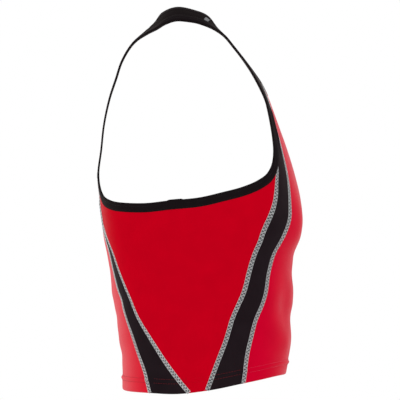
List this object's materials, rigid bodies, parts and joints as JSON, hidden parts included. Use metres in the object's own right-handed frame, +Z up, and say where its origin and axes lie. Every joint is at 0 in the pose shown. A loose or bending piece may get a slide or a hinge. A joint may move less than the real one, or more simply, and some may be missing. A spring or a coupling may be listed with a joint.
{
  "type": "sleeveless triathlon top",
  "caption": "Close-fitting sleeveless triathlon top in stretch knit: panelled red body, black insets, racer back yoke with shoulder straps, bound neck and armholes.",
  "frame": {"origin": "midway between the two shoulder straps, at the height where they rest on the wearer's shoulders", "axes": "+Z up the wearer's body, -Y towards the wearer's front, +X towards the wearer's left"},
  "size_m": [0.2804, 0.234, 0.4398],
  "materials": {
    "red_knit": "satin",
    "black_knit": "satin",
    "black_binding": "satin"
  },
  "bodies": {
    "root": {"front_centre": "red_knit", "front_inset_left": "black_knit", "front_inset_right": "black_knit", "side_left": "red_knit", "side_right": "red_knit", "back_inset_left": "black_knit", "back_inset_right": "black_knit", "back_centre": "red_knit", "back_yoke": "black_knit", "armhole_binding_left": "black_binding", "armhole_binding_right": "black_binding", "neck_binding": "black_binding"}
  },
  "joints": []
}
